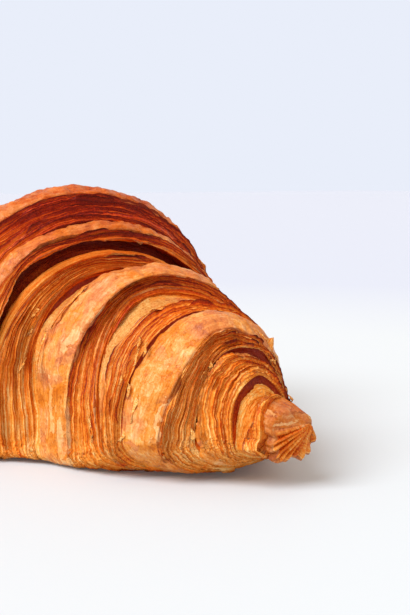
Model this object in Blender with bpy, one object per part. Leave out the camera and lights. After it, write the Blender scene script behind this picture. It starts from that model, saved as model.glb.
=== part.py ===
# Butter croissant, baked as one piece. Metres, +Z up, resting on its flat base at z = 0.
# The roll lies along X and the front faces -Y. Its wraps step down from the tall middle
# to a folded knob at each end. Each wrap is a ring that leans its own way round the roll.

import math

import bmesh
import bpy
from mathutils import Vector

MM = 0.001
SIDES = 48                 # points round each ring
TOP_ROUNDNESS = 2.1        # super-ellipse powers of a section, above and below its widest level
BASE_ROUNDNESS = 2.35
WIDEST_LEVEL = 0.27        # height of the widest level, as a share of the section's height
BASE_SUNK = 2.0            # mm of each section that the oven tray has flattened
TIP_LEAN = {"right": 5.0, "left": 12.0}   # mm that each tip leans towards the back
UNDER_CURVE = 0.4          # how much of a ring's lean over the top shows again under the roll
TIP_POINT = 1.0            # mm that each end stands out past its last ring
DOUGH_COLOUR = (0.52, 0.19, 0.03, 1)

# Sections of each arm: distance from the middle, half width, height, lift off the tray, in mm
SECTIONS = {
    "right": [(0, 43.5, 60, 0), (10, 39, 57, 0), (19, 36, 47.5, 0), (24, 30.5, 42.5, 0),
              (34, 24.5, 42.5, 0), (46, 23.5, 36.5, 0.6), (58, 16.5, 32.5, 1.6), (68, 8.5, 19.5, 6),
              (71, 7.5, 13.5, 7.3), (75, 6.5, 12, 8), (78, 4, 8, 10)],
    "left": [(0, 43.5, 60, 0), (12, 41, 58, 0), (22, 37.5, 52, 0), (30, 31.5, 44, 0),
             (40, 27, 40.5, 0), (50, 21.5, 34, 0.6), (59, 16, 27.5, 2), (67, 9, 19.5, 4.5),
             (70, 7.5, 13.5, 5.5), (75, 6, 10.5, 6.5), (78, 3.5, 7, 8)],
}

# Rings of each arm: where they cross the front, the top and the back, in mm from the middle,
# and how far they stand out of (+) or sink into (-) the smooth section, in mm
RINGS = {
    "right": [(-4, 8, 2, 0.2), (4, 10.5, 9, -0.8), (10.5, 13.5, 15, -1.6), (14.5, 16, 18.5, 1.2),
              (18.5, 19, 22.5, 2.2), (18.8, 19.3, 22.8, -3.0), (20.5, 20.8, 25.5, -1.2),
              (23.5, 22, 28, 0.4), (26.5, 23.3, 31, -1.2), (30.5, 31, 36.5, 1.0), (35, 38.5, 42.5, 0.6),
              (40, 40, 48, -0.4), (44.5, 41.5, 53.5, -1.2), (51.7, 52.3, 58.5, -1.0), (55, 57, 61, 1.0),
              (58, 61.5, 63.8, 0.6), (62.8, 65, 66.8, -1.0), (65, 67, 68.3, 0.4), (67, 69, 69.8, -0.4),
              (70.5, 71.5, 71.5, 0), (73, 73.5, 73.5, 0.5), (75.5, 75.5, 75.5, 0), (77, 77, 77, 0)],
    "left": [(7, 0, 3, 0.4), (10.5, 8, 7, 0.3), (13, 15.5, 11, 0), (18, 20, 16, -0.8),
             (22, 24, 20, -1.6), (26, 27, 24, 1.0), (30, 30, 28, 1.6), (30.8, 31, 29, -2.0),
             (33, 33, 32, -0.8), (36, 36, 36, 0.8), (40, 41, 40, 1.0), (44, 44.5, 43, -0.8),
             (49, 48, 48, 0.8), (52.5, 52.5, 51.5, 0.6), (55.5, 56, 55.5, -0.8), (59, 58.5, 59, 0.8),
             (62, 62, 62.5, 0.4), (64.5, 65, 65, -0.8), (67, 67.5, 67.5, 0.3), (69.5, 70, 70, 0),
             (72.5, 72.5, 72.5, 0.4), (75.5, 75.5, 75.5, 0), (77, 77, 77, 0)],
}
SIGN = {"right": 1, "left": -1}


def smooth_value(points, column, at):
    """Monotone cubic curve through one column of a section list."""
    xs = [p[0] for p in points]
    ys = [p[column] for p in points]
    at = min(max(at, xs[0]), xs[-1])
    slopes = [(ys[i + 1] - ys[i]) / (xs[i + 1] - xs[i]) for i in range(len(xs) - 1)]
    tangents = [slopes[0]]
    for before, after in zip(slopes, slopes[1:]):
        level = before * after <= 0
        tangents.append(0.0 if level else 2 * before * after / (before + after))
    tangents.append(slopes[-1])
    i = max(k for k in range(len(slopes)) if xs[k] <= at)
    span = xs[i + 1] - xs[i]
    t = (at - xs[i]) / span
    return ((1 + 2 * t) * (1 - t) ** 2 * ys[i] + t * (1 - t) ** 2 * span * tangents[i]
            + t * t * (3 - 2 * t) * ys[i + 1] + t * t * (t - 1) * span * tangents[i + 1])


def signed_power(value, roundness):
    return math.copysign(abs(value) ** (2 / roundness), value)


def surface_point(arm, along, angle, rise):
    """A point of the crust, along mm from the middle and angle round from the front, in metres."""
    if along < 0:
        arm = "left" if arm == "right" else "right"
        along = -along
    sections = SECTIONS[arm]
    half_width = smooth_value(sections, 1, along)
    height = smooth_value(sections, 2, along)
    lift = smooth_value(sections, 3, along)
    roundness = TOP_ROUNDNESS if math.sin(angle) >= 0 else BASE_ROUNDNESS
    across = signed_power(math.cos(angle), roundness)
    up = signed_power(math.sin(angle), roundness)
    widest = WIDEST_LEVEL * height
    reach = height - widest if up >= 0 else widest + BASE_SUNK
    fade = min(1.0, max(0.0, 1 + 2 * math.sin(angle)))     # the steps die out under the roll
    y = -(half_width + rise * fade) * across
    z = lift + widest + (reach + rise * fade) * up
    lean = TIP_LEAN[arm] * (along / sections[-1][0]) ** 2
    return Vector((SIGN[arm] * along, y + lean, max(z, 0.0))) * MM


def ring_points(arm, front, top, back, rise):
    """One leaning ring of points round the roll."""
    middle = (front + back) / 2
    points = []
    for side in range(SIDES):
        angle = 2 * math.pi * side / SIDES
        across = math.cos(angle)
        up = math.sin(angle)
        upward = top - middle if up > 0 else (middle - top) * UNDER_CURVE
        along = middle + (front - back) / 2 * across + upward * abs(up)
        points.append(surface_point(arm, along, angle, rise))
    return points


def all_rings():
    """Every ring from the left tip to the right tip."""
    left = [ring_points("left", *ring) for ring in reversed(RINGS["left"])]
    right = [ring_points("right", *ring) for ring in RINGS["right"]]
    return left + right


def add_tip(mesh, ring, outward):
    """Closes an end ring with a fan to a point just past it, on the side that outward gives."""
    centre = sum((v.co for v in ring), Vector()) / len(ring)
    point = mesh.verts.new(centre + Vector((outward * TIP_POINT * MM, 0, 0)))
    for a, b in zip(ring, ring[1:] + ring[:1]):
        mesh.faces.new((a, b, point))


def dough_material():
    """Glazed, golden-brown laminated dough."""
    material = bpy.data.materials.new("baked_dough")
    material.use_nodes = True
    shader = material.node_tree.nodes["Principled BSDF"]
    shader.inputs["Base Color"].default_value = DOUGH_COLOUR
    shader.inputs["Roughness"].default_value = 0.45
    shader.inputs["Metallic"].default_value = 0.0
    return material


def make_croissant():
    """Lofts the rings into one closed crust with its base flat on z = 0."""
    mesh = bmesh.new()
    rings = [[mesh.verts.new(p) for p in points] for points in all_rings()]
    for near, far in zip(rings, rings[1:]):
        for k in range(SIDES):
            n = (k + 1) % SIDES
            mesh.faces.new((near[k], near[n], far[n], far[k]))
    add_tip(mesh, rings[0], -1)
    add_tip(mesh, rings[-1], 1)
    bmesh.ops.triangulate(mesh, faces=mesh.faces)
    bmesh.ops.recalc_face_normals(mesh, faces=mesh.faces)
    lowest = [min(v.co[i] for v in mesh.verts) for i in range(3)]
    highest = [max(v.co[i] for v in mesh.verts) for i in range(3)]
    middle = Vector(((lowest[0] + highest[0]) / 2, (lowest[1] + highest[1]) / 2, lowest[2]))
    bmesh.ops.translate(mesh, verts=mesh.verts, vec=-middle)
    data = bpy.data.meshes.new("croissant")
    mesh.to_mesh(data)
    mesh.free()
    data.materials.append(dough_material())
    data.shade_smooth()
    croissant = bpy.data.objects.new("croissant", data)
    bpy.context.collection.objects.link(croissant)
    return croissant


def main():
    for thing in list(bpy.data.objects):
        bpy.data.objects.remove(thing)
    make_croissant()


main()
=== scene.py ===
import math

import bpy
import numpy as np
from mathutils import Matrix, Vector


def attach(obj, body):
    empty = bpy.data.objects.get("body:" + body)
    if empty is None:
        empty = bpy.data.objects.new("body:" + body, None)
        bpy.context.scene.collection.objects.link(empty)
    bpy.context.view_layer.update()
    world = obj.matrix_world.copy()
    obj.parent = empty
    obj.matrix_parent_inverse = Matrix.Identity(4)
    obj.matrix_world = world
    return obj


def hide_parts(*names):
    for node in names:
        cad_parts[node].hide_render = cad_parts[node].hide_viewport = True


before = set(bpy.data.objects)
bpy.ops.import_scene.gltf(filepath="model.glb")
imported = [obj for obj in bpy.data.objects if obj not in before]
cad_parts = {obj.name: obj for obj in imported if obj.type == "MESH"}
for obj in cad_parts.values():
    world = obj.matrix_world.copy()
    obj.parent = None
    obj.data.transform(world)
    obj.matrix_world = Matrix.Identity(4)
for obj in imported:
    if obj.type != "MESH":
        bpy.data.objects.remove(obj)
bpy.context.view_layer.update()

mm = 0.001

# the roll, in mm: distance from the middle, half width, height, lift off the tray
roll = {
    "right": [(0, 43.5, 60, 0), (10, 39, 57, 0), (19, 36, 47.5, 0), (24, 30.5, 42.5, 0),
              (34, 24.5, 42.5, 0), (46, 23.5, 36.5, 0.6), (58, 16.5, 32.5, 1.6), (68, 8.5, 19.5, 6),
              (71, 7.5, 13.5, 7.3), (75, 6.5, 12, 8), (78, 4, 8, 10)],
    "left": [(0, 43.5, 60, 0), (12, 41, 58, 0), (22, 37.5, 52, 0), (30, 31.5, 44, 0),
             (40, 27, 40.5, 0), (50, 21.5, 34, 0.6), (59, 16, 27.5, 2), (67, 9, 19.5, 4.5),
             (70, 7.5, 13.5, 5.5), (75, 6, 10.5, 6.5), (78, 3.5, 7, 8)],
    "leanRight": 5.0,        # how far each tip leans to the back
    "leanLeft": 12.0,
    "tipDistance": 78.0,
    "topRoundness": 2.1,     # super-ellipse powers of a section
    "baseRoundness": (6.0, 2.3),     # under the middle and under the tips
    "baseFrom": (30, 52),            # mm from the middle where one turns into the other
    "widestLevel": 0.25,
    "baseSunk": 0.6,
    "baseFlare": 0.08,       # how much the foot of the tall part spreads
    "flareFrom": (12, 20), "flareTo": (34, 50),      # mm from the middle where that starts and ends
    "baseLip": 1.0,          # how far the edge of the base stands off the table
    "lipFrom": (0.4, 0.75),  # share of the half width where that starts and ends
    "underCurve": 0.4,       # how much of a ring's lean over the top shows again under the roll
}


def smoothCurve(points, column, at):
    # monotone cubic curve through one column of a list of sections
    xs = np.array([p[0] for p in points], float)
    ys = np.array([p[column] for p in points], float)
    slopes = np.diff(ys) / np.diff(xs)
    before, after = slopes[:-1], slopes[1:]
    total = np.where(np.abs(before + after) < 1e-9, 1.0, before + after)
    inner = np.where(before * after <= 0, 0.0, 2 * before * after / total)
    tangents = np.concatenate([[slopes[0]], inner, [slopes[-1]]])
    at = np.clip(at, xs[0], xs[-1])
    i = np.clip(np.searchsorted(xs, at, side="right") - 1, 0, len(slopes) - 1)
    span = xs[i + 1] - xs[i]
    t = (at - xs[i]) / span
    return ((1 + 2 * t) * (1 - t) ** 2 * ys[i] + t * (1 - t) ** 2 * span * tangents[i]
            + t * t * (3 - 2 * t) * ys[i + 1] + t * t * (t - 1) * span * tangents[i + 1])


def rollSurface(along, angle, rise, fade=1.0, shrink=0.0):
    # a point of the roll in mm; angle goes from the front over the top to the back
    distance = np.abs(along)
    onRight = along >= 0
    sizes = [np.where(onRight, smoothCurve(roll["right"], c, distance),
                      smoothCurve(roll["left"], c, distance)) for c in (1, 2, 3)]
    halfWidth, height, lift = sizes
    lean = np.where(onRight, roll["leanRight"], roll["leanLeft"]) * (distance / roll["tipDistance"]) ** 2
    cosine, sine = np.cos(angle), np.sin(angle)
    squarer, rounder = roll["baseRoundness"]
    baseRoundness = squarer + (rounder - squarer) * step(distance, *roll["baseFrom"])
    power = 2 / np.where(sine >= 0, roll["topRoundness"], baseRoundness)
    across = np.sign(cosine) * np.abs(cosine) ** power
    up = np.sign(sine) * np.abs(sine) ** power
    flare = roll["baseFlare"] * step(-sine, 0.0, 0.6) * onRight * step(distance, *roll["flareFrom"])
    across = across * (1 + flare * (1 - step(distance, *roll["flareTo"])))
    level = roll["widestLevel"] * height
    reach = np.where(up >= 0, height - level, level + roll["baseSunk"])
    y = lean - (halfWidth + rise * fade) * across * (1 - shrink)
    z = lift + level + (reach + rise * fade) * up * (1 - shrink)
    lip = roll["baseLip"] * step(np.abs(across) * (1 - shrink), *roll["lipFrom"])
    return np.stack(np.broadcast_arrays(along, y, np.maximum(z, lip)), -1)


def ringLine(ring, angle, side):
    # distance along the roll of a leaning ring (front, top, back)
    front, top, back = ring[:3]
    middle = (front + back) / 2
    up = np.sin(angle)
    upward = np.where(up > 0, top - middle, (middle - top) * roll["underCurve"])
    along = middle + (front - back) / 2 * np.cos(angle) + upward * np.abs(up)
    if len(ring) > 3:
        shift, centre, width = ring[3:]
        along = along + shift * window(angle, centre, width)
    return side * along


def waves(rng, count, angle, lowest, highest, fall=1.0):
    # count smooth random lines round the roll, each about -1 to 1
    k = np.arange(lowest, highest + 1)
    size = k ** -float(fall)
    size = size / math.sqrt((size ** 2).sum() / 2)
    phase = rng.uniform(0, 2 * math.pi, (count, len(k)))
    spread = rng.normal(0, 1, (count, len(k))) * size
    return 0.6 * np.einsum("ik,ika->ia", spread, np.cos(k[None, :, None] * angle + phase[..., None]))


def lumps(points, size, seed):
    # smooth lattice noise in space, 0 to 1
    p = points / size + seed * 17.31
    cell = np.floor(p).astype(np.int64)
    f = p - cell
    f = f * f * (3 - 2 * f)
    total = 0.0
    for dx in (0, 1):
        for dy in (0, 1):
            for dz in (0, 1):
                # a hash of the lattice corner, mixed by large odd numbers
                h = ((cell[..., 0] + dx) * 73856093) ^ ((cell[..., 1] + dy) * 19349663)
                h = h ^ ((cell[..., 2] + dz) * 83492791)
                h = (h ^ (h >> 13)) * 1274126177
                value = ((h ^ (h >> 16)) & 0xFFFF) / 65535.0
                weight = (np.where(dx, f[..., 0], 1 - f[..., 0]) * np.where(dy, f[..., 1], 1 - f[..., 1])
                          * np.where(dz, f[..., 2], 1 - f[..., 2]))
                total = total + value * weight
    return total


def step(value, low, high):
    # eases from 0 at low to 1 at high
    t = np.clip((value - low) / (high - low), 0, 1)
    return t * t * (3 - 2 * t)


def window(angle, centre, width):
    # 1 round an angle in degrees, fading to 0 at width degrees away
    away = np.abs((np.degrees(angle) - centre + 180) % 360 - 180)
    return 1 - step(away, width * 0.45, width)


# each wrap of dough is a closed shell swept through leaning rings; this shapes its cut layers
layerLook = {
    "samples": (0.0, 0.12, 0.5, 0.88),   # where each layer's rounded edge is drawn
    "uneven": 0.44,                      # how much the thickness of a layer varies along it
    "groupProud": 0.50,                  # mm that bundles of layers stand out
    "eachProud": 0.22,                   # mm that single layers stand out
    "ragged": 0.10,                      # mm of torn edge
    "groove": 0.22,                      # mm between layers
    "ridgeGroove": 0.55,                 # mm more between ridges of two to four layers
    "slit": 1.1,                         # mm of the odd open slit
    "flap": 0.8,                         # mm that the odd layer lifts
    "fineUneven": 0.13,
    "drift": 0.16,                       # mm that a whole bundle wanders along the roll
    "toneEach": 0.18, "toneAlong": 0.22,
    "crustOver": 0.10,                   # share of a zone that its crust still covers
    "wobble": 0.6,                       # mm that the edge of a zone wanders
    "closing": (1.0, 0.7, 0.35),         # how the ends of a shell draw in to a pole
    # lumps of the dough: height in mm, size in mm, step of the seed, on the crust only
    "lumps": [(0.9, 9.0, 0, False), (0.45, 3.2, 3, False), (0.50, 1.5, 5, True), (0.22, 0.8, 7, False)],
}


class Rows:
    # the rows of a shell, each one ring of points with its own values to paint
    def __init__(self, angle):
        self.angle = angle
        self.rows = []
        self.layerNow = 0.0
        self.fadeNow = np.clip(1 + 2 * np.sin(angle), 0, 1)     # steps die out under the roll

    def add(self, along, rise, **more):
        n = len(self.angle)
        # groove darkens the colour as painted shade; crust, tone, pale and layer give the dough's own
        # colour
        row = {"along": along, "rise": rise, "fade": 1.0, "shrink": 0.0, "height": 0.0,
               "crust": 0.0, "groove": 0.0, "tone": 0.5, "pale": 0.0, "layer": 0.0}
        row.update(more)
        self.rows.append({k: np.broadcast_to(np.asarray(v, float), (n,)) for k, v in row.items()})

    def table(self, key):
        return np.array([r[key] for r in self.rows])


def addLayers(rows, rng, ringA, ringB, riseA, riseB, spec):
    # the cut edges of many thin layers, in bundles of uneven width, with grooves and slits between
    angle = rows.angle
    count = spec["layers"]
    own = rng.uniform(0.6, 1.4, (count, 1))
    widths = np.clip(own + layerLook["uneven"] * waves(rng, count, angle, 1, 9, 0.8)
                     + layerLook["fineUneven"] * waves(rng, count, angle, 12, 60, 0.3), 0.12, 3)
    edges = np.concatenate([np.zeros((1, len(angle))), np.cumsum(widths, 0)]) / widths.sum(0)
    group = waves(rng, count // 3 + 3, angle, 1, 6, 0.8)
    at = np.arange(count) / 3.0
    low = at.astype(int)
    mix = (at - low)[:, None]
    bundle = group[low] * (1 - mix) + group[low + 1] * mix
    calm = 1 - 0.4 * (1 - step(np.sin(angle), -0.75, 0.05))
    strength = spec.get("strength", 1.0) * calm
    lifted = step(waves(rng, count, angle, 1, 6, 0.6), 0.95, 1.3)
    proud = strength * (layerLook["groupProud"] * bundle + layerLook["flap"] * lifted
                        + layerLook["eachProud"] * waves(rng, count, angle, 2, 16, 0.6)
                        + layerLook["ragged"] * waves(rng, count, angle, 30, 110, 0.2))
    deepOne = np.isin(np.arange(count + 1), np.cumsum(rng.integers(2, 5, count))).astype(float)
    dip = layerLook["groove"] * (0.6 + 0.5 * np.abs(waves(rng, count + 1, angle, 2, 14, 0.5)))
    ridgeDip = layerLook["ridgeGroove"] * deepOne[:, None]
    dip = dip + ridgeDip * (0.6 + 0.4 * waves(rng, count + 1, angle, 1, 9, 0.6))
    slits = step(waves(rng, count + 1, angle, 2, 14, 0.6), 0.85, 1.3)
    drift = layerLook["drift"] * waves(rng, 1, angle, 4, 24, 0.8)[0]
    dip = np.maximum(dip + layerLook["slit"] * slits, 0.05) * strength
    tone = spec.get("tone", 0.5) + layerLook["toneEach"] * rng.normal(0, 1, (count, 1))
    tone = tone + layerLook["toneAlong"] * waves(rng, count, angle, 1, 12, 0.7)
    sag = spec.get("sag", 0.0)
    over = spec.get("crustOver", layerLook["crustOver"])
    over = np.maximum(over * (1 + 0.8 * waves(rng, 1, angle, 3, 40, 0.5)[0]), 0.0)
    for i in range(count):
        for f in layerLook["samples"]:
            t = edges[i] * (1 - f) + edges[i + 1] * f
            # the groove value is painted shade: strongest at the bottom of each groove, slight on a
            # layer's sides, never less than the zone's shade
            if f == 0.0:
                height = np.minimum(proud[i], proud[max(i - 1, 0)]) - dip[i]
                depth = np.clip(0.42 + 0.65 * dip[i], 0.42, 1.0)
            else:
                height = proud[i] - (0.06 if f != 0.5 else 0.0)
                depth = 0.0 if f == 0.5 else 0.12
            depth = np.maximum(depth, spec.get("shade", 0.0))
            rows.add(ringA + (ringB - ringA) * t + drift * np.sin(math.pi * t),
                     riseA + (riseB - riseA) * t - sag * np.sin(math.pi * t),
                     fade=spec.get("fade", rows.fadeNow), height=height, groove=depth,
                     tone=tone[i], layer=rows.layerNow + i + f,
                     crust=1 - step(t, over * 0.6, over * 1.2 + 0.001))
    rows.layerNow += count


def addCrust(rows, rng, ringA, ringB, riseA, riseB, spec):
    # a smooth, bulging band of glazed crust
    bulge = spec.get("bulge", 1.0)
    count = spec["rows"]
    for i in range(count):
        t = i / count
        rows.add(ringA + (ringB - ringA) * t,
                 riseA + (riseB - riseA) * t + bulge * math.sin(math.pi * t) ** 0.8,
                 fade=rows.fadeNow, crust=1.0, layer=rows.layerNow + i * 0.6)
    rows.layerNow += count * 0.6


def addFace(rows, rng, ringA, ringB, riseA, riseB, spec):
    # a bare face between two wraps: darkened by painted shade in an undercut, pale where the crumb shows
    count = spec["rows"]
    depth = spec.get("depth", 0.0)
    paleAt = [window(rows.angle, *at) for at in spec.get("paleAt", [(0, 999)])]
    pale = spec.get("pale", 0.0) * np.maximum.reduce(paleAt)
    grain = 0.10 + 0.06 * waves(rng, 1, rows.angle, 2, 9, 0.6)[0]
    for i in range(count):
        t = i / count
        rows.add(ringA + (ringB - ringA) * t,
                 riseA + (riseB - riseA) * t - depth * math.sin(math.pi * t),
                 fade=spec.get("fade", rows.fadeNow),
                 groove=spec.get("groove", 0.0) * (0.55 + 0.45 * t),
                 crust=spec.get("crust", 0.0) * step(t, 0.05, 0.5),
                 height=grain * waves(rng, 1, rows.angle, 2, 60, 0.5)[0],
                 pale=pale, layer=rows.layerNow + i * 0.5)
    rows.layerNow += count * 0.5


def addTurn(rows, rng, ringA, ringB, riseA, riseB, spec):
    # the hidden lip, turned in under the next wrap and painted dark as shade
    count = spec["rows"]
    for i in range(count):
        t = i / count
        rows.add(ringA + (ringB - ringA) * t, riseA + (riseB - riseA) * t, fade=1.0,
                 groove=spec.get("groove", 0.9), layer=i * 0.5)


zoneMakers = {"layers": addLayers, "crust": addCrust, "face": addFace, "turn": addTurn}


def gridNormals(points):
    down = np.gradient(points, axis=0)
    sideways = np.roll(points, -1, axis=1) - np.roll(points, 1, axis=1)
    normal = np.cross(sideways, down)
    return normal / np.maximum(np.linalg.norm(normal, axis=-1, keepdims=True), 1e-9)


def shellRows(wrap, angle, side, rng):
    rows = Rows(angle)
    lines, rises = [], []
    for ring, rise in wrap["rings"]:
        wobble = layerLook["wobble"] * waves(rng, 1, angle, 1, 6, 0.9)[0]
        lines.append(ringLine(ring, angle, side) + wobble)
        if isinstance(rise, tuple):
            level, dent, centre, width = rise
            rises.append(level + dent * window(angle, centre, width))
        else:
            rises.append(rise + 0 * angle)
    first, last = lines[0], lines[-1]
    # the closed ends of a shell are painted dark as shade
    for s in layerLook["closing"]:
        rows.add(first.mean() + (first - first.mean()) * (1 - s), rises[0], shrink=s, groove=0.6)
    for (kind, spec), a, b, ra, rb in zip(wrap["zones"], lines, lines[1:], rises, rises[1:]):
        zoneMakers[kind](rows, rng, a, b, ra, rb, spec)
    # the last ring and the far end are painted dark as shade too
    rows.add(last, rises[-1], groove=0.6)
    for s in layerLook["closing"][::-1]:
        rows.add(last.mean() + (last - last.mean()) * (1 - s), rises[-1], shrink=s, groove=0.6)
    return rows


def makeWrap(name, wrap):
    side = wrap["side"]
    count = wrap.get("segments", 384)
    rng = np.random.default_rng(wrap["seed"])
    turn = 1 if side > 0 else -1
    angle = -math.pi / 2 + turn * 2 * math.pi * np.arange(count) / count   # the seam is under the roll
    rows = shellRows(wrap, angle, side, rng)
    along, rise = rows.table("along"), rows.table("rise")
    base = rollSurface(along, angle[None, :], rise, rows.table("fade"), rows.table("shrink"))
    normal = gridNormals(base) * turn
    crust = rows.table("crust")
    bumpy = 0.0
    for depth, size, seedStep, onCrust in layerLook["lumps"]:
        bump = depth * (lumps(base, size, wrap["seed"] + seedStep) - 0.5)
        bumpy = bumpy + (bump * crust if onCrust else bump)
    bumpy = bumpy * (0.5 + 0.5 * crust) * wrap.get("lumpy", 1.0)
    height = (rows.table("height") + bumpy) * (rows.table("shrink") < 0.01)     # the ends stay smooth
    points = base + normal * height[..., None]
    points[..., 2] = np.maximum(points[..., 2], 0.0)
    paint = {key: rows.table(key) for key in ("crust", "groove", "tone", "pale", "layer")}
    return fillMesh(name, points, paint)
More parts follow.
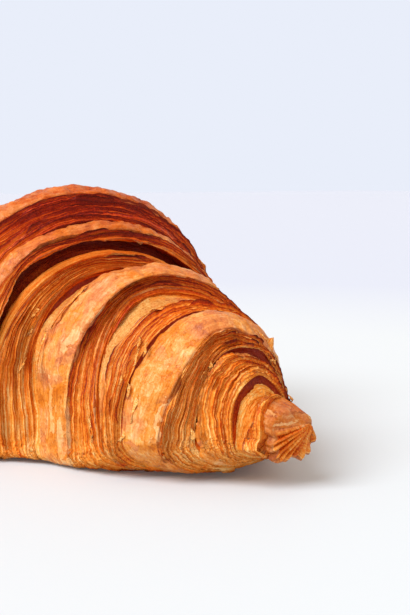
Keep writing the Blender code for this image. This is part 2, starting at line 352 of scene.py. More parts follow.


# rings: where each crosses the front, the top and the back, in mm from the middle, then perhaps a shift
# with its angle and width; then how far it stands out, or that with a dent, its angle and width
# in the zones, groove and shade set the painted shade on a face, a turn or a wrap's last layers
wraps = {
    "middleWrap": {
        "side": 1, "seed": 11, "segments": 448, "lumpy": 1.8,
        "rings": [((-26, -27, -24), -7), ((-23, -24, -20.5), -1.9), ((-13, -15.5, -11), -0.4),
                  ((-3.7, 4.0, -3.0), -0.3), ((10.5, 13.5, 14.9), -2.4), ((12.5, 15, 17), -7)],
        "zones": [("turn", {"rows": 5}), ("layers", {"layers": 18, "sag": 0.3}),
                  ("crust", {"rows": 26, "bulge": 0.7}), ("layers", {"layers": 19, "sag": 0.5}),
                  ("turn", {"rows": 5})]},
    "overhangWrap": {
        "side": 1, "seed": 12, "segments": 448, "lumpy": 1.6,
        "rings": [((7, 11, 12), -7), ((10, 13.0, 14.4), -2.6), ((16.8, 16.9, 19.2),
                  (1.1, -1.1, 125, 80)),
                  ((19.0, 18.9, 22.0, 1.8, 16, 40), (1.9, -1.6, 135, 85)),
                  ((18.3, 18.3, 21.4, 1.8, 16, 40), (1.1, -1.4, 135, 85)),
                  ((13, 13.6, 16.5), -5.5), ((12, 13, 15), -9)],
        "zones": [("turn", {"rows": 4}), ("crust", {"rows": 16, "bulge": 0.7}),
                  ("layers", {"layers": 10}), ("layers", {"layers": 1, "fade": 1.0}),
                  ("face", {"rows": 16, "groove": 1.0, "fade": 1.0}),
                  ("turn", {"rows": 4, "groove": 1.0})]},
    "rightWrap3": {
        "side": 1, "seed": 13, "segments": 448,
        "rings": [((12, 13, 16.5), -10), ((17.6, 18.4, 22.0), -5.6), ((18.8, 20.1, 23.4), -1.8),
                  ((21.0, 21.0, 26.0), -0.6), ((26.4, 23.3, 31.4), (-0.4, -0.6, 70, 70)),
                  ((26.9, 23.7, 31.8), -1.8), ((27, 25, 33), -6)],
        "zones": [("turn", {"rows": 6, "groove": 1.0}), ("face", {"rows": 6, "groove": 0.6}),
                  ("face", {"rows": 12, "groove": 0.12, "depth": -0.3}),
                  ("layers", {"layers": 15, "strength": 0.85, "sag": -0.5}),
                  ("layers", {"layers": 3, "strength": 0.6, "shade": 0.3}),
                  ("turn", {"rows": 4})]},
    "rightWrap4": {
        "side": 1, "seed": 14, "segments": 448, "lumpy": 1.2,
        "rings": [((22, 19.5, 27), -7), ((26.6, 23.4, 31.2), (-1.7, -1.0, 85, 55)),
                  ((30.4, 24.9, 33.5), (-0.6, -0.8, 80, 50)), ((36.7, 39.1, 44.5), 0.4),
                  ((44.9, 41.8, 55), (-0.6, -0.3, 60, 60)),
                  ((45.4, 42.4, 55.5), (-1.9, -0.8, 65, 55)), ((44, 41, 54), -6)],
        "zones": [("turn", {"rows": 6}),
                  ("face", {"rows": 14, "pale": 0.9, "crust": 0.8, "groove": 0.1, "depth": 0.2,
                            "paleAt": [(48, 36), (165, 40)]}),
                  ("crust", {"rows": 26, "bulge": 1.2}),
                  ("layers", {"layers": 21, "sag": 0.3, "tone": 0.35}),
                  ("layers", {"layers": 4, "strength": 0.6, "shade": 0.4}), ("turn", {"rows": 4})]},
    "rightWrap5": {
        "side": 1, "seed": 15, "segments": 448,
        "rings": [((40, 36, 48), -8), ((44.9, 41.9, 55), (-1.6, -0.8, 80, 55)),
                  ((46.4, 46.0, 56, 1.2, 45, 50), (-0.8, -0.4, 65, 55)),
                  ((51.0, 53, 57.6), (-0.6, -0.5, 75, 60)), ((52.2, 54, 59), -4)],
        "zones": [("turn", {"rows": 6}),
                  ("face", {"rows": 18, "pale": 0.95, "crust": 0.8, "groove": 0.1, "depth": 0.1,
                            "paleAt": [(56, 42), (175, 45)]}),
                  ("layers", {"layers": 17, "strength": 0.9, "crustOver": 0.0}),
                  ("turn", {"rows": 5})]},
    "rightWrap6": {
        "side": 1, "seed": 16, "segments": 416,
        "rings": [((48, 49, 55.5), -6), ((51.2, 53.2, 57.8), (-0.9, -0.9, 70, 60)),
                  ((57.9, 61.8, 63.0), (0.2, -0.8, 130, 70)),
                  ((62.9, 64.8, 67.2), (-0.5, -0.5, 130, 80)), ((63.2, 65.4, 67.6), -5)],
        "zones": [("turn", {"rows": 5}), ("crust", {"rows": 20, "bulge": 0.9}),
                  ("layers", {"layers": 20, "sag": 0.2, "tone": 0.85}), ("turn", {"rows": 4})]},
    "rightWrap7": {
        "side": 1, "seed": 17, "segments": 384,
        "rings": [((60, 62.5, 64.5), -5), ((62.7, 64.6, 67.0), (-3.0, -1.0, 110, 80)),
                  ((64.4, 66, 68.0), (-0.2, -1.6, 140, 90)),
                  ((67.8, 69, 70.6), (-0.5, -1.8, 140, 90)), ((67.5, 69.5, 70), -4.5)],
        "zones": [("turn", {"rows": 5}), ("crust", {"rows": 6, "bulge": 0.5}),
                  ("layers", {"layers": 13, "tone": 0.4}), ("turn", {"rows": 4})]},
    "rightTip": {
        "side": 1, "seed": 18, "segments": 320,
        "rings": [((64.5, 66.5, 67.5), -5), ((67.4, 68.6, 70.2), (-3.0, -1.0, 100, 90)),
                  ((69.6, 70.4, 71.0), (-1.7, -1.6, 120, 90)),
                  ((70.6, 70.8, 71.2), (-2.4, -1.2, 120, 90)),
                  ((72.8, 72.2, 71.8), (-1.7, 0.4, 20, 75)), ((73.6, 72.6, 72), -4.2),
                  ((72, 71.6, 71.2), -6)],
        "zones": [("turn", {"rows": 4}), ("face", {"rows": 14, "depth": -0.8, "pale": 0.35}),
                  ("face", {"rows": 5, "groove": 0.35}), ("layers", {"layers": 8, "strength": 0.8}),
                  ("face", {"rows": 6, "groove": 0.7}), ("turn", {"rows": 4, "groove": 1.0})]},
    "leftWrap2": {
        "side": -1, "seed": 22,
        "rings": [((20, 22, 18), -7), ((22.6, 24, 20.5), -2.2), ((27, 28, 26), 1.2),
                  ((31, 31.3, 29.5), 1.4), ((30.6, 31, 29.2), -2.4), ((29, 29.5, 27.5), -7)],
        "zones": [("turn", {"rows": 4}), ("crust", {"rows": 14, "bulge": 1.0}),
                  ("layers", {"layers": 6}),
                  ("layers", {"layers": 5, "strength": 0.6, "fade": 1.0}), ("turn", {"rows": 4})]},
    "leftWrap3": {
        "side": -1, "seed": 23,
        "rings": [((27, 28, 26), -8), ((31, 31.4, 29.6), -3.4), ((33, 33, 31.6), -1.0),
                  ((38, 39, 38.4), 0.7), ((44, 44.6, 43), -0.9), ((45, 45.6, 44), -6)],
        "zones": [("turn", {"rows": 4}), ("layers", {"layers": 4, "strength": 0.6}),
                  ("crust", {"rows": 12, "bulge": 1.2}), ("layers", {"layers": 9}),
                  ("turn", {"rows": 5})]},
    "leftWrap4": {
        "side": -1, "seed": 24,
        "rings": [((41, 41.5, 40.5), -7), ((44, 44.8, 43.2), -2.2), ((50, 49.5, 49.6), 0.6),
                  ((55.4, 56, 55.4), -0.8), ((56, 56.8, 56.2), -6)],
        "zones": [("turn", {"rows": 5}), ("crust", {"rows": 14, "bulge": 1.3}),
                  ("layers", {"layers": 10}), ("turn", {"rows": 5})]},
    "leftWrap5": {
        "side": -1, "seed": 25,
        "rings": [((53, 53.5, 53), -6), ((55.6, 56.1, 55.6), -1.9), ((60, 59.6, 60.4), 0.6),
                  ((64.5, 65, 65), -0.8), ((65, 65.7, 65.6), -5)],
        "zones": [("turn", {"rows": 5}), ("crust", {"rows": 12, "bulge": 1.1}),
                  ("layers", {"layers": 9}), ("turn", {"rows": 4})]},
    "leftTip": {
        "side": -1, "seed": 26, "segments": 320,
        "rings": [((62, 62.5, 62.5), -5), ((64.6, 65.1, 65.1), -1.6), ((66.5, 67, 67), 0.2),
                  ((70, 70.5, 70.5), -0.8), ((71.6, 71.6, 71.4), -3.8), ((71, 71.2, 71.2), -5.4)],
        "zones": [("turn", {"rows": 4}), ("crust", {"rows": 6, "bulge": 0.4}),
                  ("layers", {"layers": 9}),
                  ("layers", {"layers": 5, "strength": 0.6}), ("turn", {"rows": 4})]},
}


knobLook = {
    "roundness": 2.5, "foldTwist": 14, "foldPower": 1.4,
    "wrinkle": 0.16, "edgePleat": 0.7, "push": 0.8,      # mm
    "lumps": [(0.5, 3.0, 0), (0.16, 1.2, 2)],            # height, size, step of the seed
    "tone": 0.72, "layerStep": 0.35,
}

knobs = {
    "rightKnob": {
        "side": 1, "seed": 31, "segments": 384,
        # mm along, across centre, height centre, half width, half height
        "stations": [(62, 4.4, 12.4, 3.8, 5.0), (67, 4.6, 12.6, 4.8, 6.0),
        (70, 4.8, 12.3, 5.1, 6.1),
                     (73, 5.0, 11.8, 5.1, 6.0), (75.5, 5.3, 11.2, 5.1, 5.8),
                     (77.0, 5.6, 10.8, 4.9, 5.4)],
        # degrees round, depth, half width of each fold
        "creases": [(-52, 1.4, 10), (-14, 1.4, 9), (-110, 1.2, 16), (150, 1.4, 18),
        (-150, 1.2, 18)],
        # torn corners: degrees round, reach, half width
        "points": [(-172, 1.5, 7), (-146, 1.9, 7), (-122, 1.2, 6)],
        "corner": (8.8, 13.6), "slant": 3.6, "pleats": 19, "pleatDepth": 1.0, "rows": 44,
        "endRows": 30},
    "leftKnob": {
        "side": -1, "seed": 32, "segments": 320,
        "stations": [(62, 7.6, 11.0, 3.6, 4.6), (67, 8.4, 11.2, 4.8, 5.8),
        (70, 9.0, 11.2, 5.0, 5.9),
                     (73, 9.6, 11.0, 4.6, 5.5), (75.5, 10.2, 10.8, 4.4, 5.2),
                     (76.8, 10.4, 10.8, 4.2, 5.0)],
        "creases": [(-50, 1.3, 12), (-5, 1.4, 12), (140, 1.3, 18), (-120, 1.2, 18)],
        "points": [(-165, 1.2, 7), (-130, 1.4, 7)],
        "corner": (8.6, 13.2), "slant": 3.4, "pleats": 19, "pleatDepth": 0.6, "rows": 40,
        "endRows": 26},
}


def fillMesh(name, points, paint):
    # a grid primitive bent to the rows of points, closed at its seam and both poles
    rowCount, count = points.shape[:2]
    bpy.ops.object.select_all(action="DESELECT")
    bpy.ops.mesh.primitive_grid_add(x_subdivisions=count, y_subdivisions=rowCount - 1, size=2)
    piece = bpy.context.object
    piece.name = name
    mesh = piece.data
    mesh.name = name
    co = np.empty(len(mesh.vertices) * 3)
    mesh.vertices.foreach_get("co", co)
    co = co.reshape(-1, 3)
    segment = np.rint((co[:, 0] + 1) / 2 * count).astype(int) % count
    ring = np.rint((co[:, 1] + 1) / 2 * (rowCount - 1)).astype(int)
    mesh.vertices.foreach_set("co", (points[ring, segment] * mm).ravel())
    for key, values in paint.items():
        layer = mesh.attributes.new(key, "FLOAT", "POINT")
        layer.data.foreach_set("value", values[ring, segment].astype(np.float32))
    bpy.ops.object.mode_set(mode="EDIT")
    bpy.ops.mesh.select_all(action="SELECT")
    bpy.ops.mesh.remove_doubles(threshold=1e-7)
    bpy.ops.mesh.flip_normals()
    bpy.ops.object.mode_set(mode="OBJECT")
    mesh.uv_layers[0].name = "OFBake"
    mesh.update()
    bpy.ops.object.shade_smooth()
    print("piece", name, len(mesh.polygons), "faces")
    return piece


def makeKnob(name, knob):
    # the pinched end of the roll: a folded nose whose end is a fan of pleats
    side = knob["side"]
    count = knob["segments"]
    rng = np.random.default_rng(knob["seed"])
    turn = 1 if side > 0 else -1
    angle = -math.pi / 2 + turn * 2 * math.pi * np.arange(count) / count
    stations = knob["stations"]
    start, end = stations[0][0], stations[-1][0]
    power = 2 / knobLook["roundness"]
    across = np.sign(np.cos(angle)) * np.abs(np.cos(angle)) ** power
    up = np.sign(np.sin(angle)) * np.abs(np.sin(angle)) ** power
    wrinkle = waves(rng, 1, angle, 5, 40, 0.6)[0]
    pleatAngle = angle * knob["pleats"] / 2 + 1.2 * waves(rng, 1, angle, 1, 4, 0.5)[0]
    pleat = np.abs(np.sin(pleatAngle)) ** 0.7
    cornerY, cornerZ = knob["corner"]
    rows, groove, crust = [], [], []

    def addRow(along, shrink, grow, ends):
        y, z, halfWidth, halfHeight = [
            float(smoothCurve(stations, column, np.array(along))) for column in (1, 2, 3, 4)]
        cut = np.zeros(count)
        for centre, depth, width in knob["creases"]:
            away = np.abs((np.degrees(angle) - centre - knobLook["foldTwist"] * grow + 180) % 360 - 180)
            cut += depth * np.exp(-(away / width) ** knobLook["foldPower"]) * (0.35 + 0.65 * grow)
        low = step(-up, -0.65, 0.1)                       # the pleats open downwards
        for centre, reach, width in knob["points"]:
            away = np.abs((np.degrees(angle) - centre + 180) % 360 - 180)
            cut = cut - reach * np.exp(-(away / width) ** 2) * grow ** 3
        inset = (cut * ends - knobLook["wrinkle"] * wrinkle * ends
                 - knobLook["edgePleat"] * grow ** 2 * low * (pleat - 0.5))
        yy = y - (halfWidth - inset) * across
        zz = z + (halfHeight - inset) * up
        yy = yy + (cornerY - yy) * shrink
        zz = zz + (cornerZ - zz) * shrink
        away = np.hypot(yy - cornerY, zz - cornerZ) / (2 * halfHeight)
        deep = knob["pleatDepth"] * low * (pleat - 0.5) * step(shrink, 0.0, 0.12)
        deep = deep * (1 - step(shrink, 0.8, 1.0))
        push = knobLook["push"] - knob["slant"] * away
        rows.append(np.stack([side * (along + push * grow + deep), yy, np.maximum(zz, 0.0)], -1))
        # painted shade in the pleat valleys at the end and along the creases
        pleatShade = low * (0.32 + (1 - pleat) ** 2) * step(shrink, 0.02, 0.12)
        groove.append(np.clip(np.maximum(cut, 0.0) * 0.42 * ends + pleatShade * 0.9, 0, 1))
        crust.append(1.0 - 0.8 * step(shrink, 0.0, 0.1) * low)

    for s in (1.0, 0.6):
        addRow(start, s, 0.0, 0.0)
    for i in range(knob["rows"]):
        t = i / (knob["rows"] - 1)
        addRow(start + (end - start) * t, 0.0, step(t, 0.3, 1.0), step(t, 0.0, 0.25))
    for i in range(1, knob["endRows"] + 1):
        t = i / knob["endRows"]
        addRow(end, t, 1.0, 1.0)
    points = np.array(rows)
    shape = points.shape[:2]
    bumps = sum(depth * (lumps(points, size, knob["seed"] + seedStep) - 0.5)
                for depth, size, seedStep in knobLook["lumps"])
    normal = gridNormals(points) * turn
    inner = np.ones(shape)
    inner[:2] = 0
    inner[-1] = 0
    points = points + normal * (bumps * inner)[..., None]
    layer = np.arange(shape[0])[:, None] * knobLook["layerStep"]
    paint = {"crust": np.array(crust), "groove": np.array(groove), "pale": np.zeros(shape),
             "tone": np.full(shape, knobLook["tone"]), "layer": np.repeat(layer, shape[1], 1)}
    return fillMesh(name, points, paint)


flakeLook = {
    "seed": 51, "thickness": 0.12, "steps": (9, 4),
    # side, mm along, angle round the roll, rise, length, width, lift, tilt in degrees
    "placed": [(1, 28.9, 47, 1.2, 11, 1.0, 1.4, 6), (1, 27.4, 24, 0.6, 9, 0.8, 1.3, -8),
               (1, 63.0, 120, 0.4, 5, 0.8, 2.0, 24), (1, 46.8, 68, 0.0, 3, 1.0, 1.0, 30),
               (1, 53, 12, 0.3, 5, 0.7, 0.7, 8),
               (1, 66.5, 118, 0.0, 3, 1.0, 1.2, -20), (1, 38, -34, 0.0, 6, 0.7, 0.7, 30),
               (1, 55.0, -32, 0.0, 6, 0.8, 0.7, 34),
               (1, 51.6, 42, 0.2, 3, 0.8, 0.9, -20), (1, 35.8, 30, 0.5, 4, 0.9, 0.5, 6)],
    "scattered": 110,
    # the zone edges of each arm that flakes lift from: front, top, back, in mm from the middle
    "edges": {1: [(-4, 8, 2), (10.5, 13.8, 15), (26, 22.9, 30.6), (35.2, 38, 42), (44, 41, 53),
                  (51.5, 52, 58.3), (57.4, 60.5, 63.4), (62.6, 65, 66.7), (67, 69, 69.8)],
              -1: [(13, 15.5, 11), (23, 24, 20.5), (31, 31.3, 29.5), (38, 39, 38.4), (44, 44.6, 43),
                   (50, 49.5, 49.6), (55.4, 56, 55.4), (60, 59.6, 60.4), (64.5, 65, 65)]},
    "front": (-35, 58), "back": (135, 200),              # degrees round the roll
    "stray": 0.6, "lengths": (1.2, 3.4), "widths": (0.35, 0.8), "lifts": (0.3, 0.8),      # mm
    "tilt": 14,
    "sunk": 0.35, "rough": 0.08,                         # mm
    "tone": 0.8, "crust": 0.3, "patchSize": 6.0,
}


def makeFlakes():
    # thin curled scales of crust and lifted lamellae along the open edges
    look = flakeLook
    rng = np.random.default_rng(look["seed"])
    flakes = list(look["placed"])
    for i in range(look["scattered"]):
        side = 1 if i % 2 == 0 else -1
        ring = look["edges"][side][rng.integers(len(look["edges"][side]))]
        degrees = rng.choice([rng.uniform(*look["front"]), rng.uniform(*look["back"])])
        along = side * float(ringLine(ring, math.radians(degrees), side)) + rng.normal(0, look["stray"])
        length, width, lift = [rng.uniform(*look[key]) for key in ("lengths", "widths", "lifts")]
        flakes.append((side, along, degrees, 0.0, length, width, lift, rng.normal(0, look["tilt"])))
    parts = []
    for side, along, degrees, rise, length, width, lift, tilt in flakes:
        angle = math.radians(degrees)
        columns, across = look["steps"]
        bpy.ops.object.select_all(action="DESELECT")
        bpy.ops.mesh.primitive_grid_add(x_subdivisions=columns - 1, y_subdivisions=across - 1, size=2)
        part = bpy.context.object
        co = np.empty(len(part.data.vertices) * 3)
        part.data.vertices.foreach_get("co", co)
        u, v = co.reshape(-1, 3)[:, 0], co.reshape(-1, 3)[:, 1]
        taper = np.sqrt(np.maximum(1 - np.abs(u) ** 2.2, 0.0)) * (1 + 0.25 * np.sin(5 * u + degrees))
        turned = math.radians(tilt)
        s = u * length / 2
        t = (v + 1) / 2 * width * taper
        alongAt = along + s * math.sin(turned) + t * math.cos(turned)
        radius = 16.0 + 14.0 * max(0.0, 1 - along / 78)
        angleAt = angle + (s * math.cos(turned) - t * math.sin(turned)) / radius
        curl = ((v + 1) / 2) ** 1.6 * lift * (0.6 + 0.4 * np.sin(3 * u + along)) * taper
        points = rollSurface(side * alongAt, angleAt, rise - look["sunk"] + curl)
        points = points + look["rough"] * rng.normal(0, 1, points.shape)
        part.data.vertices.foreach_set("co", (points * mm).ravel())
        parts.append(part)
    bpy.ops.object.select_all(action="DESELECT")
    for part in parts:
        part.select_set(True)
    bpy.context.view_layer.objects.active = parts[0]
    bpy.ops.object.join()
    piece = parts[0]
    piece.name = "flakes"
    piece.data.name = "flakes"
    wall = piece.modifiers.new("wall", "SOLIDIFY")
    wall.thickness = look["thickness"] * mm
    bpy.ops.object.modifier_apply(modifier="wall")
    bpy.ops.object.mode_set(mode="EDIT")
    bpy.ops.mesh.select_all(action="SELECT")
    bpy.ops.mesh.normals_make_consistent(inside=False)
    bpy.ops.object.mode_set(mode="OBJECT")
    mesh = piece.data
    total = len(mesh.vertices)
    co = np.empty(total * 3)
    mesh.vertices.foreach_get("co", co)
    varied = lumps(co.reshape(-1, 3) / mm, look["patchSize"], look["seed"])
    paint = {"crust": look["crust"], "groove": 0.0, "tone": look["tone"], "pale": varied * 0.6,
             "layer": varied * 9}
    for key, value in paint.items():
        layer = mesh.attributes.new(key, "FLOAT", "POINT")
        layer.data.foreach_set("value", (value + 0 * varied).astype(np.float32))
    mesh.uv_layers[0].name = "OFBake"
    bpy.ops.object.shade_smooth()
    print("piece flakes", len(mesh.polygons), "faces")
    return piece


def hexColour(text):
    # sRGB hex to linear
    channels = [int(text[i:i + 2], 16) / 255 for i in (1, 3, 5)]
    return [c / 12.92 if c <= 0.04045 else ((c + 0.055) / 1.055) ** 2.4 for c in channels] + [1.0]


def addNode(tree, kind, settings, inputs, output=0):
    # adds a node with its settings and links, and gives back one of its outputs
    node = tree.nodes.new("ShaderNode" + kind)
    for key, value in settings.items():
        if key == "stops":
            ramp = node.color_ramp
            ramp.elements.remove(ramp.elements[-1])
            ramp.elements[0].position = value[0][0]
            ramp.elements[0].color = hexColour(value[0][1])
            for place, colour in value[1:]:
                ramp.elements.new(place).color = hexColour(colour)
        else:
            setattr(node, key, value)
    for key, value in inputs.items():
        if isinstance(value, bpy.types.NodeSocket):
            tree.links.new(value, node.inputs[key])
        else:
            node.inputs[key].default_value = value
    return node.outputs[output]


def addUp(tree, start, terms):
    # start, plus each pattern less the level it is centred on, times its weight
    total = start - sum(weight * centre for pattern, centre, weight in terms)
    for pattern, centre, weight in terms:
        total = addNode(tree, "Math", {"operation": "MULTIPLY_ADD"}, {0: pattern, 1: weight, 2: total})
    return total


doughLook = {
    # colours from low to high: the cut layers, painted shade in the grooves, and darker painted shade in
    # the gaps
    "layers": [(0.0, "#700E00"), (0.14, "#AE2C00"), (0.30, "#DA5A02"), (0.48, "#EA7A10"),
               (0.64, "#F29434"), (0.82, "#F8AE5C"), (1.0, "#FFD49A")],
    "deep": [(0.36, "#881C00"), (0.52, "#B23602"), (0.68, "#D66412")],
    "grooveShadePower": 1.1, "grooveShadeShare": 0.95,
    "gapShadeColour": "#601000", "gapShadeFrom": (0.6, 0.95), "gapShadeShare": 0.72,
    # the glazed crust: its hue, its light and dark patches, its pale flecks (partly painted glints), and
    # the browner wraps
    "crustHue": [(0.30, "#DC8020"), (0.44, "#E49440"), (0.57, "#D8906A"), (0.74, "#BC7468")],
    "crustLight": [(0.10, "#A04008"), (0.32, "#DC7C20"), (0.54, "#EEA45E"), (0.76, "#FFD8A4"),
                   (0.94, "#FFF0D8")],
    "lightShare": 0.55,
    "fleckAndGlint": "#FFDDB0", "fleckAndGlintFrom": (0.84, 1.02), "fleckAndGlintShare": 0.26,
    "browned": [(0.5, "#FFFFFF"), (0.9, "#BC8478")],
    # torn crumb, and how the whole roll is more toasted towards the top
    "crumb": [(0.34, "#A8551A"), (0.47, "#CC8440"), (0.60, "#E0AC6C"), (0.78, "#F4D4A0")],
    "toast": [(0.0, "#FFFADC"), (0.45, "#FFF4D8"), (0.75, "#F8D2A4"), (1.0, "#E2A578")],
    "toastLevel": (0.014, 0.058),          # metres up, as are the next two
    "darkLevel": (0.043, 0.057),           # the cut layers are browner above this
    "flankLevel": (0.022, 0.006),          # the flank is smoother and paler below this
    # noises drawn along the layers: repeats round the roll and per layer, detail, roughness, distortion
    "strandNoises": [((9, 2.2, 1), 3.0, 0.6, 0.0),        # streaks
                     ((46, 1.4, 1), 3.0, 0.65, 0.0),      # fibres
                     ((24, 2.6, 1), 1.0, 0.5, 0.3)],      # fine lines within a layer
    # noises in space: scale per metre, detail, roughness, distortion
    "spaceNoises": [(130.0, 4.0, 0.62, 1.2),              # mottle, 8 mm blotches
                    (95.0, 2.0, 0.5, 1.0),                # hue, 11 mm patches
                    (700.0, 2.0, 0.6, 0.0),               # specks of 1.4 mm
                    (40.0, 2.0, 0.6, 0.0),                # broad, 25 mm
                    (2300.0, 2.0, 0.6, 0.0)],             # crisp crumbs of 0.4 mm
    "scaleStretch": (22, 0.30, 1),         # the crust crazes into scales, longer round the roll
    "swirlScale": 260.0, "swirl": 2.6,     # 4 mm swirls in the outline of each scale
    "crackWidth": 0.08,
    "cutRough": 0.46, "crustRough": 0.28,  # matt cut layers, satin egg wash
    "bumpStrength": 0.6, "bumpDistance": 0.0006,
    "ior": 1.45, "specular": 0.22,
}


def laminatedDough():
    # baked laminated dough, egg washed: satin crust in golden patches between matt, streaked cut layers
    look = doughLook
    material = bpy.data.materials.new("bakedLaminatedDough")
    material.use_nodes = True
    tree = material.node_tree
    shader = tree.nodes["Principled BSDF"]
    crust, groove, tone, pale, layer = [addNode(tree, "Attribute", {"attribute_name": name}, {}, "Fac")
                                        for name in ("crust", "groove", "tone", "pale", "layer")]
    place = addNode(tree, "TexCoord", {}, {}, "Object")
    uv = addNode(tree, "UVMap", {"uv_map": "OFBake"}, {})
    roundRoll = addNode(tree, "SeparateXYZ", {}, {0: uv}, "X")
    strand = addNode(tree, "CombineXYZ", {}, {"X": roundRoll, "Y": layer})
    patterns = []
    for stretch, detail, roughness, distortion in look["strandNoises"]:
        vector = addNode(tree, "Mapping", {}, {"Vector": strand, "Scale": stretch})
        patterns.append(addNode(tree, "TexNoise", {}, {
            "Vector": vector, "Scale": 1.0, "Detail": detail,
            "Roughness": roughness, "Distortion": distortion}))
    for scale, detail, roughness, distortion in look["spaceNoises"]:
        patterns.append(addNode(tree, "TexNoise", {}, {
            "Vector": place, "Scale": scale, "Detail": detail,
            "Roughness": roughness, "Distortion": distortion}))
    streaks, fibres, fine, mottle, hue, speck, broad, crisp = patterns
    up = addNode(tree, "SeparateXYZ", {}, {0: place}, "Z")
    # heights: the cut layers darker near the top, the lower flank paler and smoother, and the toasting
    # towards the top
    levels = []
    for low, high in (look["darkLevel"], look["flankLevel"], look["toastLevel"]):
        levels.append(addNode(tree, "MapRange", {}, {"Value": up, "From Min": low, "From Max": high}))
    upperDarkening, flank, toast = levels

    # cut layers, darkened by painted shade in the grooves between them
    spots = addUp(tree, 0.0, [(mottle, 0.46, 1.0)])
    spots = addNode(tree, "Math", {"operation": "MULTIPLY"}, {0: flank, 1: spots})
    # the painted shade in the grooves is weaker on the lower flank
    shallower = addUp(tree, 1.0, [(flank, 0.0, -0.5)])
    groove = addNode(tree, "Math", {"operation": "MULTIPLY"}, {0: groove, 1: shallower})
    ridge = addUp(tree, 0.74, [(streaks, 0.5, 0.70), (fine, 0.5, 0.85), (fibres, 0.5, 0.35),
                               (tone, 0.5, 0.28), (broad, 0.5, 0.35), (speck, 0.5, 0.20),
                               (crisp, 0.5, 0.55), (upperDarkening, 0.0, -0.56), (spots, 0.0, 0.9),
                               (groove, 0.0, -0.8)])
    layerColour = addNode(tree, "ValToRGB", {"stops": look["layers"]}, {"Fac": ridge})
    # painted shade at the bottom of the grooves: red-brown, mixed in by the groove value
    grooveShadeMix = addUp(tree, 0.0, [(fibres, 0.0, 0.5), (crisp, 0.0, 0.5)])
    grooveShadeColour = addNode(tree, "ValToRGB", {"stops": look["deep"]}, {"Fac": grooveShadeMix})
    deep = addNode(tree, "Math", {"operation": "POWER"}, {0: groove, 1: look["grooveShadePower"]})
    deep = addNode(tree, "Math", {"operation": "MULTIPLY"}, {0: deep, 1: look["grooveShadeShare"]})
    layerColour = addNode(tree, "MixRGB", {}, {"Fac": deep, "Color1": layerColour, "Color2": grooveShadeColour})
    # darker painted shade in the deepest grooves, gaps and undercuts
    low, high = look["gapShadeFrom"]
    gapShade = addNode(tree, "MapRange", {}, {"Value": groove, "From Min": low, "From Max": high,
                                         "To Max": look["gapShadeShare"]})
    layerColour = addNode(tree, "MixRGB", {}, {"Fac": gapShade, "Color1": layerColour,
                                               "Color2": hexColour(look["gapShadeColour"])})

    # crust, crazed into scales
    swirl = addNode(tree, "TexNoise", {}, {"Vector": place, "Scale": look["swirlScale"], "Detail": 4.0},
                    "Color")
    swirl = addNode(tree, "VectorMath", {"operation": "SCALE"}, {0: swirl, "Scale": look["swirl"]})
    warped = addNode(tree, "Mapping", {}, {"Vector": strand, "Scale": look["scaleStretch"]})
    warped = addNode(tree, "VectorMath", {"operation": "ADD"}, {0: warped, 1: swirl})
    scales = addNode(tree, "TexVoronoi", {}, {"Vector": warped, "Scale": 1.0}, "Color")
    scaleShade = addNode(tree, "SeparateXYZ", {}, {0: scales}, "X")
    scaleTint = scaleShade.node.outputs["Y"]
    crack = addNode(tree, "TexVoronoi", {"feature": "DISTANCE_TO_EDGE"},
                    {"Vector": warped, "Scale": 1.0}, "Distance")
    crack = addNode(tree, "MapRange", {}, {"Value": crack, "From Max": look["crackWidth"],
                                           "To Min": 1.0, "To Max": 0.0})
    patch = addUp(tree, 0.48, [(mottle, 0.5, 1.1), (scaleShade, 0.5, 0.34), (crack, 0.0, -0.16),
                               (speck, 0.5, 0.40), (crisp, 0.5, 0.55), (streaks, 0.5, 0.5),
                               (fibres, 0.5, 0.9)])
    patchColour = addNode(tree, "ValToRGB", {"stops": look["crustLight"]}, {"Fac": patch})
    hue = addUp(tree, 0.52, [(hue, 0.5, 1.3), (scaleTint, 0.5, 0.22)])
    crustColour = addNode(tree, "ValToRGB", {"stops": look["crustHue"]}, {"Fac": hue})
    crustColour = addNode(tree, "MixRGB", {}, {"Fac": look["lightShare"], "Color1": crustColour,
                                               "Color2": patchColour})
    browned = addNode(tree, "ValToRGB", {"stops": look["browned"]}, {"Fac": tone})
    crustColour = addNode(tree, "MixRGB", {"blend_type": "MULTIPLY"}, {
        "Fac": 1.0, "Color1": crustColour, "Color2": browned})
    # pale flecks on the scales of glaze, partly painted glints
    low, high = look["fleckAndGlintFrom"]
    fleckAndGlint = addUp(tree, 0.0, [(scaleShade, 0.0, 1.0), (broad, 0.5, 1.2)])
    fleckAndGlint = addNode(tree, "MapRange", {}, {"Value": fleckAndGlint, "From Min": low, "From Max": high,
                                           "To Max": look["fleckAndGlintShare"]})
    crustColour = addNode(tree, "MixRGB", {}, {"Fac": fleckAndGlint, "Color1": crustColour,
                                               "Color2": hexColour(look["fleckAndGlint"])})
    edge = addUp(tree, 0.0, [(crust, 0.0, 1.0), (mottle, 0.5, 1.3)])
    edge = addNode(tree, "MapRange", {}, {"Value": edge, "From Min": 0.42, "From Max": 0.58})
    colour = addNode(tree, "MixRGB", {}, {"Fac": edge, "Color1": layerColour, "Color2": crustColour})

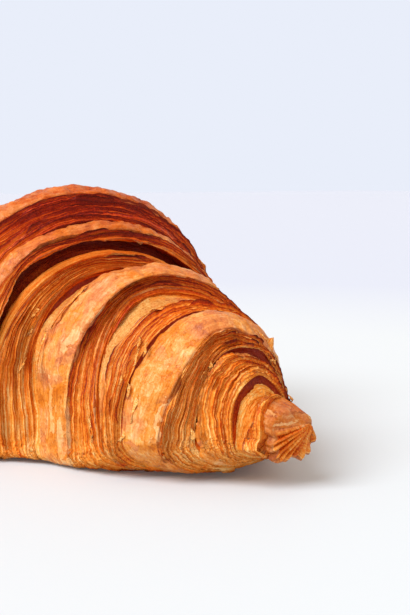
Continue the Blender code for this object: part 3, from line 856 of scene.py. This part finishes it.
    # torn crumb, and the toasting
    # crumb colour, with painted shade where the groove value is high
    grain = addUp(tree, 0.0, [(crisp, 0.0, 0.5), (fibres, 0.0, 0.3), (mottle, 0.0, 0.3),
                              (groove, 0.0, -0.3)])
    crumbColour = addNode(tree, "ValToRGB", {"stops": look["crumb"]}, {"Fac": grain})
    torn = addUp(tree, 0.0, [(pale, 0.0, 1.0), (mottle, 0.5, 2.2), (fibres, 0.5, 1.2)])
    torn = addNode(tree, "MapRange", {}, {"Value": torn, "From Min": 0.45, "From Max": 0.95})
    bare = addNode(tree, "Math", {"operation": "MULTIPLY", "use_clamp": True}, {0: pale, 1: 1.6})
    torn = addNode(tree, "Math", {"operation": "MULTIPLY"}, {0: torn, 1: bare})
    colour = addNode(tree, "MixRGB", {}, {"Fac": torn, "Color1": colour, "Color2": crumbColour})
    toast = addUp(tree, 0.0, [(toast, 0.0, 1.0), (broad, 0.5, 0.5)])
    toastColour = addNode(tree, "ValToRGB", {"stops": look["toast"]}, {"Fac": toast})
    colour = addNode(tree, "MixRGB", {"blend_type": "MULTIPLY"}, {
        "Fac": 1.0, "Color1": colour, "Color2": toastColour})

    # relief: fine lines on the cut layers, scales on the crust, crumbs on both
    lined = addUp(tree, 1.1, [(crust, 0.0, -1.0)])
    lined = addNode(tree, "Math", {"operation": "MULTIPLY"}, {0: fine, 1: lined})
    scaled = addNode(tree, "Math", {"operation": "MULTIPLY"}, {0: scaleShade, 1: crust})
    height = addUp(tree, 0.0, [(fibres, 0.0, 0.5), (speck, 0.0, 0.65), (lined, 0.0, 1.0),
                               (crisp, 0.0, 0.45), (scaled, 0.0, 0.35)])
    bump = addNode(tree, "Bump", {}, {"Strength": look["bumpStrength"], "Distance": look["bumpDistance"],
                                      "Height": height})
    rough = addNode(tree, "MapRange", {}, {"Value": crust, "To Min": look["cutRough"],
                                           "To Max": look["crustRough"]})
    tree.links.new(colour, shader.inputs["Base Color"])
    tree.links.new(bump, shader.inputs["Normal"])
    tree.links.new(rough, shader.inputs["Roughness"])
    shader.inputs["IOR"].default_value = look["ior"]
    shader.inputs["Specular IOR Level"].default_value = look["specular"]
    print("material", material.name, len(tree.nodes), "nodes")
    return material


dough = laminatedDough()
pieces = []
for name, wrap in wraps.items():
    pieces.append(makeWrap(name, wrap))
for name, knob in knobs.items():
    pieces.append(makeKnob(name, knob))
pieces.append(makeFlakes())

for piece in pieces:
    piece.data.materials.clear()
    piece.data.materials.append(dough)
    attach(piece, "root")
    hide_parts("croissant")


studio = {
    "eye": (232.9, -130.0, 62.0), "heading": 53.96, "pitch": 6.9, "lens": 62.0,
    "tableSize": 8.0, "sensor": 36.0, "clipStart": 0.01, "floorSpecular": 0.1,
    "sky": "#E9EEFA", "room": "#FFEEDC", "roomLight": 0.72, "skySeen": 1.0,
    "floorNear": "#D5DFE9", "floorFar": "#CAD4E8", "floorFade": (0.18, 0.38),     # metres from the roll
    "floorRough": 0.6, "floorGlow": 0.04,
    "sun": 2.9, "sunAngle": 40.0, "sunFrom": (0.0, -0.74, 0.80),
}


def makeStudio():
    bpy.ops.object.select_all(action="DESELECT")
    bpy.ops.mesh.primitive_plane_add(size=studio["tableSize"], location=(0, 0, 0))
    floor = bpy.context.object
    floor.name = "floor"
    material = bpy.data.materials.new("glazedWhiteTable")
    material.use_nodes = True
    tree = material.node_tree
    shader = tree.nodes["Principled BSDF"]
    place = addNode(tree, "TexCoord", {}, {}, "Object")
    away = addNode(tree, "VectorMath", {"operation": "LENGTH"}, {0: place}, "Value")
    low, high = studio["floorFade"]
    away = addNode(tree, "MapRange", {}, {"Value": away, "From Min": low, "From Max": high})
    tint = addNode(tree, "MixRGB", {}, {"Fac": away, "Color1": hexColour(studio["floorNear"]),
                                        "Color2": hexColour(studio["floorFar"])})
    tree.links.new(tint, shader.inputs["Base Color"])
    shader.inputs["Roughness"].default_value = studio["floorRough"]
    shader.inputs["Specular IOR Level"].default_value = studio["floorSpecular"]
    shader.inputs["Emission Color"].default_value = hexColour(studio["sky"])
    shader.inputs["Emission Strength"].default_value = studio["floorGlow"]
    floor.data.materials.append(material)
    world = bpy.data.worlds.new("softRoom")
    bpy.context.scene.world = world
    world.use_nodes = True
    tree = world.node_tree
    background = tree.nodes["Background"]
    seen = addNode(tree, "LightPath", {}, {}, "Is Camera Ray")
    glow = addNode(tree, "MixRGB", {}, {"Fac": seen, "Color1": hexColour(studio["room"]),
                                        "Color2": hexColour(studio["sky"])})
    tree.links.new(glow, background.inputs["Color"])
    strength = addNode(tree, "MapRange", {}, {"Value": seen, "To Min": studio["roomLight"],
                                              "To Max": studio["skySeen"]})
    tree.links.new(strength, background.inputs["Strength"])
    bpy.ops.object.light_add(type="SUN", location=(-0.4, -0.4, 0.6))
    key = bpy.context.object
    key.data.energy = studio["sun"]
    key.data.angle = math.radians(studio["sunAngle"])
    key.rotation_euler = Vector(studio["sunFrom"]).to_track_quat("Z", "Y").to_euler()
    camera = bpy.data.cameras.new("camera")
    cameraObject = bpy.data.objects.new("camera", camera)
    bpy.context.collection.objects.link(cameraObject)
    camera.lens = studio["lens"]
    camera.sensor_width = studio["sensor"]
    camera.clip_start = studio["clipStart"]
    cameraObject.location = [c * mm for c in studio["eye"]]
    tilt, heading = math.radians(90 - studio["pitch"]), math.radians(studio["heading"])
    cameraObject.rotation_euler = (tilt, 0, heading)
    bpy.context.scene.camera = cameraObject
    bpy.context.scene.view_settings.view_transform = "Standard"
    print("studio ready")


makeStudio()
